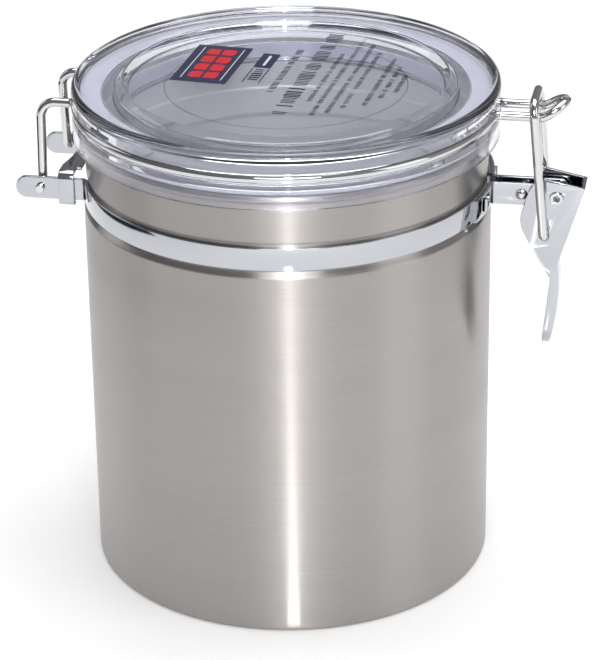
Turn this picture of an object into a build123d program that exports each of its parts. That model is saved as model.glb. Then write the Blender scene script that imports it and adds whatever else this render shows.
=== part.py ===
from build123d import *
import os
from math import asin, atan2, cos, degrees, radians, sin, sqrt

# Airtight food canister: a brushed steel can, a clear lid held by one bent wire, a wire hinge on
# the left (-X) and a toggle latch on the right (+X).
# Millimetres, +Z up. The origin is the centre of the base, on the surface that the can stands on.

# ---- can -------------------------------------------------------------------------------------
CAN_R = 63.5            # outside of the can wall
SHEET = 0.8             # steel sheet of the can
BASE_CORNER = 1.6       # radius where the wall turns under
HEM_R = 59.6            # inner edge of the turned-under hem
NECK_R = 62.9           # outside of the neck above the groove
GROOVE_R = 62.6         # floor of the groove that the collar band lies in
GROOVE_Z = (122.9, 131.7)
SHOULDER = 1.6          # height of each rolled groove shoulder
BEAD_R, BEAD_Z, BEAD = 62.7, 146.6, 1.2      # rolled rim: ring radius, height, bead radius
BASE_RIM = 6.0          # height of the base disc's upturned edge
BASE_PANEL = 3.0        # how far the base panel is raised

# ---- collar band, one half each side ---------------------------------------------------------
BAND_T, BAND_H, BAND_Z = 1.2, 7.2, 127.3     # thickness, height, mid height
EAR_GAP = 18.6          # hinge ear, middle of its sheet, either side of the centre plane
EAR_TIP_X = -82.8
EAR_TIP_R = 3.4
TURN = 2.2              # bend where the band turns out into the ear
BAND_END = 3.6          # degrees short of the latch plane
TONGUE_AT, TONGUE_L, TONGUE_H, TONGUE_W = 11.6, 2.9, 4.2, 1.2

# ---- hinge -----------------------------------------------------------------------------------
HINGE_X, HINGE_Z = -75.0, BAND_Z
PIN_CLEAR = 0.1
CLIP_X = (-69.0, -64.0)
CLIP_T = 1.0
CLIP_HALF = 19.8        # middle of the clip's side sheet
CLIP_TOP, CLIP_FOOT = 132.7, 122.6
CLIP_LIP = 17.9         # inner end of the lip under each ear
CLIP_ROLL, CLIP_FOOT_ROLL = 2.2, 0.9
CLIP_WAIST_R, CLIP_WAIST = 54.0, 1.6         # scoop in the web's outer edge: radius and depth
NECK_CLEAR = 0.4

# ---- lid -------------------------------------------------------------------------------------
LID_R, LID_TOP, LID_EDGE = 66.5, 161.6, 2.2
WINDOW_Z, WINDOW_R, WINDOW_LIP_R = 158.4, 49.0, 50.6   # sunk window in the top
PLATE_Z = 155.2         # underside of the window
PLUG_R, PLUG_BORE, PLUG_Z = 56.9, 53.4, 143.8
PLUG_LIP, PLUG_LIP_H = 0.7, 1.0
CEILING_Z, SKIRT_BORE, SKIRT_Z = 149.9, 64.5, 144.0

# ---- gasket ----------------------------------------------------------------------------------
GASKET_R, GASKET_Z, GASKET_T = 63.6, 148.0, 1.85
SLEEVE_R, SLEEVE_Z = 60.0, 145.1

# ---- lid wire --------------------------------------------------------------------------------
WIRE = 1.45             # radius of both wires
WIRE_CLEAR = 0.15
RING_R, RING_Z = 65.3, 153.8
RING_TURN = 3.0         # bend from the ring out into a straight run
LEG_TOP_Y, LEG_FOOT_Y, PIN_END_Y = 13.4, 15.6, 20.6
LEG_BEND, FOOT_BEND = 4.6, 2.4
LOOP_Y, LOOP_KINK_X, LOOP_RISE, LOOP_REACH = 5.3, 80.5, 32.0, 7.4
KINK_BEND, LOOP_BEND = 4.0, 5.5

# ---- printed label ---------------------------------------------------------------------------
LABEL_R, LABEL_T = 48.2, 0.15

# ---- latch -----------------------------------------------------------------------------------
STRAP_T = 1.2           # strap lies on the outside of the band
STRAP_END = 17.5        # degrees from the latch plane to the strap's end
LATCH_EAR_Y, LATCH_TURN = 2.6, 1.8
PIVOT_X, PIVOT_Z = 85.0, BAND_Z
LATCH_EAR_TIP = 3.4     # ear beyond the pivot
SLOT_FROM, SLOT_TO, SLOT_H = 6.6, 13.4, 5.0
TIE_X, TIE_R, TIE_SPACER, TIE_DOME, TIE_RISE = 74.0, 1.4, 1.95, 1.9, 0.75
RIVET_R, RIVET_BORE, RIVET_HEAD, RIVET_HEAD_T, RIVET_CLEAR = 1.5, 0.9, 2.1, 0.5, 0.1
CHEEK_Y, LEVER_T = 5.1, 1.1                  # outside of the cheeks, sheet of the lever
HOOK = (-3.6, -13.0)                         # bail hole, from the pivot
ARCH = (-7.4, 31.5)                          # middle of the bail's arch, from the pivot
BAIL_FOOT_Y, BAIL_TOP_Y, BAIL_HOOK_END = 7.0, 9.0, 3.55
BAIL_BEND, ARCH_BEND = 2.2, 4.4
TAIL_LOW, TAIL_R, TAIL_FLANGE = 76.6, 6.6, 2.1
NECK_Y = 4.2            # half width of the lever at its neck
# lever seen from the side: points from the pivot, (towards +X, up)
TOP_IN, TOP_OUT = (-5.6, 6.6), (8.7, 3.6)
BROW, HEEL_TOP, HEEL, HEEL_LOW = (-8.4, 2.2), (-10.1, -3.4), (-10.9, -6.0), (-9.7, -12.5)
NECK_IN, NECK_OUT, WAIST_DROP = (-4.1, -23.3), (0.7, -22.6), -27.6
SWELL, TAIL_TIP_X = (0.9, -38.0), -1.6
# lever seen from outside, heights from the pivot
CHEEK_LOW, PINCH, LEVER_REACH = -17.0, -24.0, 12.0


def at_angle(radius, angle):
    """Point on a circle about the can's axis, the angle in degrees from +X."""
    return (radius * cos(radians(angle)), radius * sin(radians(angle)))


def turned(points):
    """Solid of revolution about the can's axis from a closed (radius, height) outline."""
    return revolve(make_face(Plane.XZ * Polyline(*points, close=True)), Axis.Z)


def ring_bead(ring_radius, height, radius):
    """Torus about the can's axis."""
    return Pos(0, 0, height) * Torus(ring_radius, radius)


def turn_out(ring_radius, offset, bend):
    """Bend that leads from a ring to a straight run along +X at y = -offset.

    Gives the start on the ring, the middle of the bend and the start of the run."""
    reach = ring_radius + bend
    centre = (sqrt(reach ** 2 - (offset + bend) ** 2), -(offset + bend))
    on_ring = (centre[0] * ring_radius / reach, centre[1] * ring_radius / reach)
    run = (centre[0], -offset)
    half = radians((90 + degrees(atan2(on_ring[1] - centre[1], on_ring[0] - centre[0]))) / 2)
    return on_ring, (centre[0] + bend * cos(half), centre[1] + bend * sin(half)), run


def mirrored_x(point):
    return (-point[0], point[1])


def along_y(x, z, radius, length):
    """Cylinder on a cross axis, the same length on both sides of the centre plane."""
    return Pos(x, 0, z) * Rot(90, 0, 0) * Cylinder(radius, 2 * length)


def sheet_face(edges, width):
    """Flat strip of sheet seen edge on, along a chain of lines and arcs."""
    pieces = [trace(edge, line_width=width) for edge in edges]
    whole = pieces[0]
    for piece in pieces[1:]:
        whole += piece
    return whole


def round_wire(path):
    """Round wire of the part's gauge along a smooth path."""
    start = Plane(path @ 0, z_dir=path % 0)
    return sweep(start * Circle(WIRE), path=path)


# ---- can -------------------------------------------------------------------------------------

def can_wall():
    low, high = GROOVE_Z
    inner = CAN_R - SHEET
    outline = [
        (HEM_R, 0), (CAN_R - BASE_CORNER, 0), (CAN_R, BASE_CORNER),
        (CAN_R, low - SHOULDER), (CAN_R - 0.35, low - SHOULDER / 2), (GROOVE_R, low),
        (GROOVE_R, high), (NECK_R, high + SHOULDER / 2), (NECK_R, BEAD_Z),
        (NECK_R - SHEET, BEAD_Z), (NECK_R - SHEET, high + SHOULDER / 2), (GROOVE_R - SHEET, high),
        (GROOVE_R - SHEET, low), (inner, low - SHOULDER), (inner, SHEET), (HEM_R, SHEET),
    ]
    return turned(outline) + ring_bead(BEAD_R, BEAD_Z, BEAD)


def base_plate():
    rim, foot = CAN_R - SHEET, SHEET
    step = BASE_PANEL - foot
    outline = [
        (0, BASE_PANEL), (HEM_R - 2 - step, BASE_PANEL), (HEM_R - 2, foot), (rim, foot),
        (rim, BASE_RIM), (rim - SHEET, BASE_RIM), (rim - SHEET, foot + SHEET),
        (HEM_R - 1.6, foot + SHEET), (HEM_R - 1.6 - step, BASE_PANEL + SHEET),
        (0, BASE_PANEL + SHEET),
    ]
    return turned(outline)


# ---- collar band -----------------------------------------------------------------------------

def half_band():
    """Front half: hinge ear, band round the groove, and a tongue lanced out for the strap."""
    radius = GROOVE_R + BAND_T / 2
    on_ring, bend_mid, run = [mirrored_x(p) for p in turn_out(radius, EAR_GAP, TURN)]
    end = at_angle(radius, -BAND_END)
    face = sheet_face([
        Line((EAR_TIP_X, -EAR_GAP), run),
        ThreePointArc(run, bend_mid, on_ring),
        ThreePointArc(on_ring, (0, -radius), end),
    ], BAND_T)
    band = Pos(0, 0, BAND_Z - BAND_H / 2) * extrude(face, BAND_H)
    tip_edges = band.edges().filter_by(Axis.Y).sort_by(Axis.X)[:2]
    band = fillet(tip_edges, EAR_TIP_R)
    tongue_mid = GROOVE_R + TONGUE_L / 2 + BAND_T / 2
    tongue = Rot(0, 0, -TONGUE_AT) * Pos(tongue_mid, 0, BAND_Z) * Box(TONGUE_L, TONGUE_W, TONGUE_H)
    return band + tongue - along_y(HINGE_X, HINGE_Z, WIRE + PIN_CLEAR, 2 * EAR_GAP)


def saddle_clip():
    """Clip that ties the two hinge ears: a web over them, sides outside, a lip under each."""
    section = FilletPolyline(
        (-CLIP_LIP, CLIP_FOOT), (-CLIP_HALF, CLIP_FOOT), (-CLIP_HALF, CLIP_TOP),
        (CLIP_HALF, CLIP_TOP), (CLIP_HALF, CLIP_FOOT), (CLIP_LIP, CLIP_FOOT),
        radius=[CLIP_FOOT_ROLL, CLIP_ROLL, CLIP_ROLL, CLIP_FOOT_ROLL])
    outer, inner = CLIP_X
    web_inner = -CAN_R + 1  # the web reaches the neck, the sides stop short of it
    cut = web_inner - inner + 2
    solid = Pos(outer, 0, 0) * extrude(Plane.YZ * sheet_face(section.edges(), CLIP_T), web_inner - outer)
    for y in (-CLIP_HALF, CLIP_HALF):
        solid -= Pos(inner + cut / 2, y, BAND_Z) * Box(cut, 4 * CLIP_ROLL, 8 * BAND_H)
    neck = Pos(0, 0, BAND_Z) * Cylinder(NECK_R + NECK_CLEAR, 8 * BAND_H)
    waist = Pos(outer - CLIP_WAIST_R + CLIP_WAIST, 0, CLIP_TOP) * Cylinder(CLIP_WAIST_R, 4 * CLIP_T)
    return solid - neck - waist


# ---- latch ears and rivets -------------------------------------------------------------------

def latch_ear():
    """Front latch ear: a strap hooked on the band's end, turned out into a flat ear."""
    radius = GROOVE_R + BAND_T + STRAP_T / 2
    on_ring, bend_mid, run = turn_out(radius, LATCH_EAR_Y, LATCH_TURN)
    turn_angle = degrees(asin(-on_ring[1] / radius))
    tip = (PIVOT_X + LATCH_EAR_TIP, -LATCH_EAR_Y)
    face = sheet_face([
        Line(tip, run),
        ThreePointArc(run, bend_mid, on_ring),
        ThreePointArc(on_ring, at_angle(radius, -(STRAP_END + turn_angle) / 2),
                      at_angle(radius, -STRAP_END)),
    ], STRAP_T)
    ear = Pos(0, 0, BAND_Z - BAND_H / 2) * extrude(face, BAND_H)
    tip_edges = ear.edges().filter_by(Axis.Y).sort_by(Axis.X)[-2:]
    ear = fillet(tip_edges, EAR_TIP_R)
    slot_mid = (SLOT_FROM + SLOT_TO) / 2
    slot_length = radius * radians(SLOT_TO - SLOT_FROM)
    slot_plane = Plane(origin=at_angle(radius - 3 * STRAP_T, -slot_mid) + (BAND_Z,),
                       x_dir=(sin(radians(slot_mid)), cos(radians(slot_mid)), 0),
                       z_dir=at_angle(1, -slot_mid) + (0,))
    slot = extrude(slot_plane * RectangleRounded(slot_length, SLOT_H, 1.2), 6 * STRAP_T)
    ear -= slot
    ear -= along_y(TIE_X, BAND_Z, TIE_R, CHEEK_Y)
    return ear - along_y(PIVOT_X, PIVOT_Z, RIVET_R, CHEEK_Y)


def domed_rivet():
    """Tie rivet with a spacer between the ears and a low dome outside each."""
    inside, outside = LATCH_EAR_Y - STRAP_T / 2, LATCH_EAR_Y + STRAP_T / 2
    top = outside + TIE_RISE
    ball = (TIE_DOME ** 2 + TIE_RISE ** 2) / (2 * TIE_RISE)
    half = asin(TIE_DOME / ball) / 2
    shoulder = (ball * sin(half), top - ball + ball * cos(half))
    outline = Curve() + [
        Polyline((0, -top), (0, top)),
        ThreePointArc((0, top), shoulder, (TIE_DOME, outside)),
        Polyline((TIE_DOME, outside), (TIE_R, outside), (TIE_R, inside), (TIE_SPACER, inside),
                 (TIE_SPACER, -inside), (TIE_R, -inside), (TIE_R, -outside), (TIE_DOME, -outside)),
        ThreePointArc((TIE_DOME, -outside), (shoulder[0], -shoulder[1]), (0, -top)),
    ]
    return Pos(TIE_X, 0, BAND_Z) * revolve(make_face(outline), Axis.Y)


def tubular_rivet():
    """Hollow pivot rivet through both ears and both cheeks, with a rolled head on each side."""
    head_at = CHEEK_Y + RIVET_CLEAR
    shank = along_y(PIVOT_X, PIVOT_Z, RIVET_R, head_at + RIVET_HEAD_T)
    for side in (-1, 1):
        head = Pos(PIVOT_X, side * (head_at + RIVET_HEAD_T / 2), PIVOT_Z) * Rot(90, 0, 0)
        shank += head * Cylinder(RIVET_HEAD, RIVET_HEAD_T)
    return shank - along_y(PIVOT_X, PIVOT_Z, RIVET_BORE, 2 * head_at)


# ---- lid group -------------------------------------------------------------------------------

def clear_lid():
    """Clear lid: thick flange with the wire's groove, skirt, sunk window and plug."""
    edge_in = LID_R - LID_EDGE
    edge_mid = LID_EDGE * sin(radians(45))
    outline = Curve() + [
        Polyline((edge_in, LID_TOP), (WINDOW_LIP_R, LID_TOP), (WINDOW_R, WINDOW_Z), (0, WINDOW_Z),
                 (0, PLATE_Z), (PLUG_BORE, PLATE_Z), (PLUG_BORE, PLUG_Z),
                 (PLUG_R + PLUG_LIP, PLUG_Z), (PLUG_R + PLUG_LIP, PLUG_Z + PLUG_LIP_H / 2),
                 (PLUG_R, PLUG_Z + PLUG_LIP_H), (PLUG_R, CEILING_Z), (SKIRT_BORE, CEILING_Z),
                 (SKIRT_BORE, SKIRT_Z), (LID_R, SKIRT_Z), (LID_R, LID_TOP - LID_EDGE)),
        ThreePointArc((LID_R, LID_TOP - LID_EDGE),
                      (edge_in + edge_mid, LID_TOP - LID_EDGE + edge_mid), (edge_in, LID_TOP)),
    ]
    lid = revolve(make_face(Plane.XZ * outline), Axis.Z)
    groove = WIRE + WIRE_CLEAR
    channel = turned([(RING_R, RING_Z - groove), (LID_R + 1, RING_Z - groove),
                      (LID_R + 1, RING_Z + groove), (RING_R, RING_Z + groove)])
    return lid - ring_bead(RING_R, RING_Z, groove) - channel


def seal_ring():
    outline = [
        (PLUG_R + 0.1, SLEEVE_Z), (SLEEVE_R - 0.8, SLEEVE_Z), (SLEEVE_R, GASKET_Z - 1),
        (SLEEVE_R, GASKET_Z), (GASKET_R, GASKET_Z), (GASKET_R, GASKET_Z + GASKET_T),
        (PLUG_R + 0.1, GASKET_Z + GASKET_T),
    ]
    return turned(outline)


def wire_path():
    """One length of wire: hinge pin, leg, half ring, front loop, half ring, leg, hinge pin."""
    def place(point, z=RING_Z):
        return (point[0], point[1], z)

    def far(point):
        return (point[0], -point[1], point[2])

    hinge_ring, hinge_mid, hinge_run = [mirrored_x(p) for p in turn_out(RING_R, LEG_TOP_Y, RING_TURN)]
    loop_ring, loop_mid, loop_run = turn_out(RING_R, LOOP_Y, RING_TURN)
    leg = [(HINGE_X, -PIN_END_Y, HINGE_Z), (HINGE_X, -LEG_FOOT_Y, HINGE_Z),
           (HINGE_X, -LEG_TOP_Y, RING_Z), place(hinge_run)]
    tip = (LOOP_KINK_X + LOOP_REACH * cos(radians(LOOP_RISE)), -LOOP_Y,
           RING_Z + LOOP_REACH * sin(radians(LOOP_RISE)))
    kink = (LOOP_KINK_X, -LOOP_Y, RING_Z)
    edges = list(FilletPolyline(*leg, radius=[FOOT_BEND, LEG_BEND]).edges())
    edges += [ThreePointArc(place(hinge_run), place(hinge_mid), place(hinge_ring)),
              ThreePointArc(place(hinge_ring), (0, -RING_R, RING_Z), place(loop_ring)),
              ThreePointArc(place(loop_ring), place(loop_mid), place(loop_run))]
    edges += list(FilletPolyline(place(loop_run), kink, tip, far(tip), far(kink), far(place(loop_run)),
                                 radius=[KINK_BEND, LOOP_BEND, LOOP_BEND, KINK_BEND]).edges())
    edges += [ThreePointArc(far(place(loop_run)), far(place(loop_mid)), far(place(loop_ring))),
              ThreePointArc(far(place(loop_ring)), (0, RING_R, RING_Z), far(place(hinge_ring))),
              ThreePointArc(far(place(hinge_ring)), far(place(hinge_mid)), far(place(hinge_run)))]
    edges += list(FilletPolyline(*[far(p) for p in reversed(leg)], radius=[LEG_BEND, FOOT_BEND]).edges())
    return Wire(edges)


def film_label():
    return Pos(0, 0, WINDOW_Z + LABEL_T / 2) * Cylinder(LABEL_R, LABEL_T)


# ---- toggle latch ----------------------------------------------------------------------------

def from_pivot(offset, inset=0.0):
    return (PIVOT_X + offset[0] - inset, PIVOT_Z + offset[1])


def lever_side():
    """Side outline of the lever in the XZ plane."""
    tail_out = (PIVOT_X + TAIL_TIP_X, TAIL_LOW)
    outline = Curve() + [
        Line(from_pivot(TOP_IN), from_pivot(TOP_OUT)),
        Line(from_pivot(TOP_OUT), from_pivot(NECK_OUT)),
        ThreePointArc(from_pivot(NECK_OUT), from_pivot(SWELL), tail_out),
        Line(tail_out, (tail_out[0] - TAIL_FLANGE, TAIL_LOW)),
        Line((tail_out[0] - TAIL_FLANGE, TAIL_LOW), from_pivot((NECK_OUT[0] - TAIL_FLANGE, WAIST_DROP))),
        Line(from_pivot((NECK_OUT[0] - TAIL_FLANGE, WAIST_DROP)), from_pivot(NECK_IN)),
        Line(from_pivot(NECK_IN), from_pivot(HEEL_LOW)),
        ThreePointArc(from_pivot(HEEL_LOW), from_pivot(HEEL), from_pivot(HEEL_TOP)),
        ThreePointArc(from_pivot(HEEL_TOP), from_pivot(BROW), from_pivot(TOP_IN)),
    ]
    return make_face(Plane.XZ * outline)


def lever_plan(inset):
    """Outline of the lever seen from outside, in the YZ plane."""
    side, neck, tail = CHEEK_Y - inset, NECK_Y - inset, TAIL_R - inset
    right = [(side, PIVOT_Z + LEVER_REACH), (side, PIVOT_Z + CHEEK_LOW), (neck, PIVOT_Z + PINCH),
             (tail, TAIL_LOW + TAIL_R)]
    left = [(-y, z) for y, z in reversed(right)]
    outline = Curve() + [
        Polyline(*right),
        ThreePointArc(right[-1], (0, TAIL_LOW + inset), left[0]),
        Polyline(*left),
        Line(left[-1], right[0]),
    ]
    return make_face(Plane.YZ * outline)


def toggle_lever():
    """Folded sheet lever: outer web, two cheeks towards the can, narrow neck, spoon tail."""
    def across(inset):
        return Pos(PIVOT_X - 20, 0, 0) * extrude(lever_plan(inset), 40, dir=(1, 0, 0))

    outer = extrude(lever_side(), 20, both=True) & across(0)
    behind = -20.0
    hollow = Polyline(
        from_pivot((behind, LEVER_REACH)), from_pivot((TOP_OUT[0] + 1.9, LEVER_REACH), LEVER_T),
        from_pivot(TOP_OUT, LEVER_T), from_pivot(NECK_OUT, LEVER_T), from_pivot(SWELL, LEVER_T),
        (PIVOT_X + TAIL_TIP_X - LEVER_T, TAIL_LOW), (PIVOT_X + behind, TAIL_LOW), close=True)
    inner = extrude(Plane.XZ * make_face(hollow), 20, both=True)
    lever = outer - (inner & across(LEVER_T))
    lever -= along_y(PIVOT_X, PIVOT_Z, RIVET_R + RIVET_CLEAR, 2 * CHEEK_Y)
    return lever - along_y(PIVOT_X + HOOK[0], PIVOT_Z + HOOK[1], WIRE + PIN_CLEAR, 2 * CHEEK_Y)


def bail_path():
    """Bail: hooked in through one cheek, up, over the lid wire's loop, down and in again."""
    hook = (PIVOT_X + HOOK[0], PIVOT_Z + HOOK[1])
    arch = (PIVOT_X + ARCH[0], PIVOT_Z + ARCH[1])
    near = [(hook[0], -BAIL_HOOK_END, hook[1]), (hook[0], -BAIL_FOOT_Y, hook[1]),
            (arch[0], -BAIL_TOP_Y, arch[1])]
    away = [(x, -y, z) for x, y, z in reversed(near)]
    return FilletPolyline(*near, *away, radius=[BAIL_BEND, ARCH_BEND, ARCH_BEND, BAIL_BEND])


band_front = half_band()
ear_front = latch_ear()
parts = {
    "canister_body": can_wall(),
    "base_disc": base_plate(),
    "collar_band_front": band_front,
    "collar_band_back": mirror(band_front, Plane.XZ),
    "hinge_clip": saddle_clip(),
    "latch_ear_front": ear_front,
    "latch_ear_back": mirror(ear_front, Plane.XZ),
    "tie_rivet": domed_rivet(),
    "pivot_rivet": tubular_rivet(),
    "lid": clear_lid(),
    "gasket": seal_ring(),
    "lid_wire": round_wire(wire_path()),
    "lid_label": film_label(),
    "latch_lever": toggle_lever(),
    "latch_bail": round_wire(bail_path()),
}

os.makedirs("parts", exist_ok=True)
for name, solid in parts.items():
    export_step(solid, f"parts/{name}.step")
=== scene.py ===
"""Airtight food canister: brushed steel can, clear lid, wire hinge and toggle latch."""
from math import asin, atan2, cos, degrees, pi, radians, sin, sqrt, tan

import bmesh
import bpy
from bpy.props import FloatProperty, IntProperty, PointerProperty, StringProperty
from mathutils import Matrix, Vector


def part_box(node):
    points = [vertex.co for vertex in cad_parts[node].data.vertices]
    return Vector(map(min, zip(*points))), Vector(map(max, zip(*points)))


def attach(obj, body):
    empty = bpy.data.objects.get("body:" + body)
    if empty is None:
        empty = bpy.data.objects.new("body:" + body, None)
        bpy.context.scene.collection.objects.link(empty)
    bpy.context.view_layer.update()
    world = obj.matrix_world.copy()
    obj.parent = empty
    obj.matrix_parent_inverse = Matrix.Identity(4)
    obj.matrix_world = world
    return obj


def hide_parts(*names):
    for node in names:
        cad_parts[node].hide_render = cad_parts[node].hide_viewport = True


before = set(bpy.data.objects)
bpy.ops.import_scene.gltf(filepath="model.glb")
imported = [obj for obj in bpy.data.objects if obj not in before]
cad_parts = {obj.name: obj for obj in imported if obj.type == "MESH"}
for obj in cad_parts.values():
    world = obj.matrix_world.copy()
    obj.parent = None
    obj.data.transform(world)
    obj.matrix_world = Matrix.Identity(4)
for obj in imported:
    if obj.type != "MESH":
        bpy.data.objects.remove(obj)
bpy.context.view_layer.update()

bl_info = {
    "name": "Airtight Food Canister",
    "version": (1, 0, 0),
    "blender": (4, 5, 0),
    "location": "3D View > Sidebar > Canister",
    "description": "Builds a steel food canister with a clear lid, a wire hinge and a toggle latch",
    "category": "Add Mesh",
}

MM = 0.001


def span(node):
    """Lowest and highest corner of a CAD node in millimetres."""
    low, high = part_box(node)
    return low / MM, high / MM


CAN_HIGH = span("canister_body")[1]
LID_LOW, LID_HIGH = span("lid")
BAND_LOW, BAND_HIGH = span("collar_band_front")
WIRE_LOW = span("lid_wire")[0]
STRAP_HIGH = span("latch_ear_front")[1]
FILM_LOW, FILM_HIGH = span("lid_label")
TIE_LOW, TIE_HIGH = span("tie_rivet")
PIVOT_LOW, PIVOT_HIGH = span("pivot_rivet")
BASE_HIGH = span("base_disc")[1]
SEAL_LOW, SEAL_HIGH = span("gasket")

WIRE_RADIUS = 1.45
BAND_MID = (BAND_LOW.z + BAND_HIGH.z) / 2
HINGE_X, PIVOT_X = WIRE_LOW.x + WIRE_RADIUS, (PIVOT_LOW.x + PIVOT_HIGH.x) / 2
TIE_X = (TIE_LOW.x + TIE_HIGH.x) / 2
RING_R, RING_Z = 65.3, 153.8     # the lid wire's ring


# ---- sizes and colours ---------------------------------------------------------------------------

def length(name, description, default):
    """Distance property, its default in millimetres."""
    return FloatProperty(name=name, description=description, default=default * MM, subtype="DISTANCE",
                         unit="LENGTH", precision=5)


def colour(name, description, code):
    """Colour property that holds an sRGB hex value."""
    return StringProperty(name=name, description=description, default=code)


class CanisterSizes(bpy.types.PropertyGroup):
    """Sizes of the canister's own parts"""
    turn_steps: IntProperty(name="Turning Steps", description="Segments round a turned piece",
                            default=192, min=24)
    can_radius: length("Can Radius", "Outside of the can wall", CAN_HIGH.x)
    sheet: length("Sheet", "Thickness of the can's steel sheet", 0.8)
    base_corner: length("Base Corner", "Radius where the wall turns under", 1.6)
    groove_radius: length("Groove Radius", "Floor of the groove under the collar band", 62.6)
    bead: length("Rim Bead", "Radius of the rolled rim", 1.2)
    lid_edge: length("Lid Edge", "Radius of the lid's top edge", 2.2)
    window_radius: length("Window Radius", "Radius of the sunk window in the lid", 49.0)
    band_sheet: length("Band Sheet", "Thickness of the collar band and the straps", 1.2)
    band_edge: length("Band Edge", "Rounding of the stamped sheet's edges", 0.28)
    wire: length("Wire", "Radius of the lid wire and the bail", WIRE_RADIUS)
    pivot_head: length("Pivot Head", "Radius of the pivot rivet's rolled head", PIVOT_HIGH.z - BAND_MID)
    print_height: length("Print Height", "Thickness of the printed ink", 0.03)


class CanisterColours(bpy.types.PropertyGroup):
    """Colours of the canister's finishes, as sRGB hex values"""
    steel: colour("Brushed Steel", "Stainless steel of the can", "#ADA9A6")
    inside: colour("Inside", "Satin steel of the can's inside", "#CDCED1")
    # the inside is partly a real satin finish and partly painted light: lighter than the outer steel, for
    # the light that bounces round inside the can
    chrome: colour("Chrome", "Bright plating of the band, clip, ears and lever", "#BCBEC3")
    wire: colour("Wire", "Bright plating of the wires and rivets", "#D2D2D2")
    acrylic: colour("Acrylic", "Clear lid", "#F2F3FB")
    silicone: colour("Silicone", "Clear seal", "#B8B9BF")
    navy: colour("Navy Ink", "Dark ink of the label", "#2A2D45")
    dark: colour("Print Ink", "Near-black ink of the small print", "#10111F")
    red: colour("Red Ink", "Accent ink of the label", "#C0262F")
    pale: colour("Pale Ink", "Light ink of the label", "#C9CBD6")
    floor: colour("Floor", "Studio floor", "#FAFAFA")


class StudioSettings(bpy.types.PropertyGroup):
    """Lights and camera of the stage"""
    focal_length: FloatProperty(name="Focal Length", description="Lens of the camera, in millimetres",
                                default=157.4, min=20)
    azimuth: FloatProperty(name="Azimuth", description="Camera's turn about the can",
                           default=radians(10.3), subtype="ANGLE")
    elevation: FloatProperty(name="Elevation", description="Camera's height above the horizon",
                             default=radians(25.55), subtype="ANGLE")
    world: FloatProperty(name="Surroundings", description="Brightness of the surroundings", default=0.34)
    strip: FloatProperty(name="Front Strip", description="Power of the narrow front light, in watts",
                         default=11.0)
    front: FloatProperty(name="Front", description="Power of the broad front light, in watts", default=10.5)
    overhead: FloatProperty(name="Overhead", description="Power of the soft top light, in watts",
                            default=21.0)
    side: FloatProperty(name="Side", description="Power of each soft side light, in watts", default=2.2)


# ---- points along outlines and paths -------------------------------------------------------------

def arc(centre, radius, start, end, step=12.0):
    """Points on a circle in the XY plane, angles in degrees."""
    count = max(2, int(abs(end - start) / step) + 1)
    angles = [radians(start + (end - start) * i / count) for i in range(count + 1)]
    return [Vector((centre[0] + radius * cos(a), centre[1] + radius * sin(a), centre[2])) for a in angles]


def bend(before, corner, after, radius, step=12.0):
    """Points of a round bend at a corner between two straight runs."""
    back, ahead = (before - corner).normalized(), (after - corner).normalized()
    opening = back.angle(ahead)
    reach = radius / tan(opening / 2)
    centre = corner + (back + ahead).normalized() * (radius / sin(opening / 2))
    start = corner + back * reach - centre
    axis = start.cross(corner + ahead * reach - centre).normalized()
    count = max(2, int(degrees(pi - opening) / step) + 1)
    return [centre + Matrix.Rotation((pi - opening) * i / count, 3, axis) @ start for i in range(count + 1)]


def rounded(points, closed=False, step=15.0):
    """Chain of (x, y[, z], bend radius) points with its corners rounded; a plain Vector passes through."""
    places = [p if isinstance(p, Vector) else Vector(p[:-1]).to_3d() for p in points]
    radii = [0 if isinstance(p, Vector) else p[-1] for p in points]
    count = len(points)
    chain = []
    for i, (place, radius) in enumerate(zip(places, radii)):
        at_end = not closed and i in (0, count - 1)
        if radius and not at_end:
            chain += bend(places[i - 1], place, places[(i + 1) % count], radius, step)
        else:
            chain.append(place)
    return chain + chain[:1] if closed else chain


def turn_out(ring_radius, offset, radius, z):
    """Points of the bend from a ring to a straight run along +X at y = -offset."""
    reach = ring_radius + radius
    centre = Vector((sqrt(reach ** 2 - (offset + radius) ** 2), -(offset + radius), z))
    back = degrees(atan2(-centre.y, -centre.x))
    return arc(centre, radius, back, 90, 10)


def on_ring_angle(point):
    return degrees(atan2(point.y, point.x))


def mirrored(points, x=1, y=1):
    return [Vector((p.x * x, p.y * y, p.z)) for p in points]


# ---- meshes --------------------------------------------------------------------------------------

def chain_mesh(points, gauge=None):
    """Open chain of edges in metres, from points in millimetres, for a node tree to follow."""
    mesh = bpy.data.meshes.new("chain")
    mesh.from_pydata([p * MM for p in points], [(i, i + 1) for i in range(len(points) - 1)], [])
    if gauge:
        mesh.attributes.new("gauge", "FLOAT", "POINT").data.foreach_set("value", gauge)
    return mesh


def place_object(name, mesh):
    made = bpy.data.objects.new(name, mesh)
    bpy.context.collection.objects.link(made)
    return made


def evaluated(holder, name):
    """Plain mesh of an object with its modifiers applied; the holder is removed."""
    graph = bpy.context.evaluated_depsgraph_get()
    mesh = bpy.data.meshes.new_from_object(holder.evaluated_get(graph))
    mesh.name = name
    holder.modifiers.clear()
    bpy.data.objects.remove(holder)
    return mesh


def grow(name, tree, chain, **values):
    """Runs a node tree on a chain and gives its result as a plain mesh."""
    holder = place_object(name, chain)
    modifier = holder.modifiers.new("Shape", "NODES")
    modifier.node_group = tree
    for item in tree.interface.items_tree:
        label = item.name.lower().replace(" ", "_")
        if item.in_out == "INPUT" and label in values:
            modifier[item.identifier] = values[label]
    mesh = evaluated(holder, name)
    mesh.materials.clear()
    mesh.materials.append(values["finish"])
    mesh.polygons.foreach_set("material_index", [0] * len(mesh.polygons))
    return mesh


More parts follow.
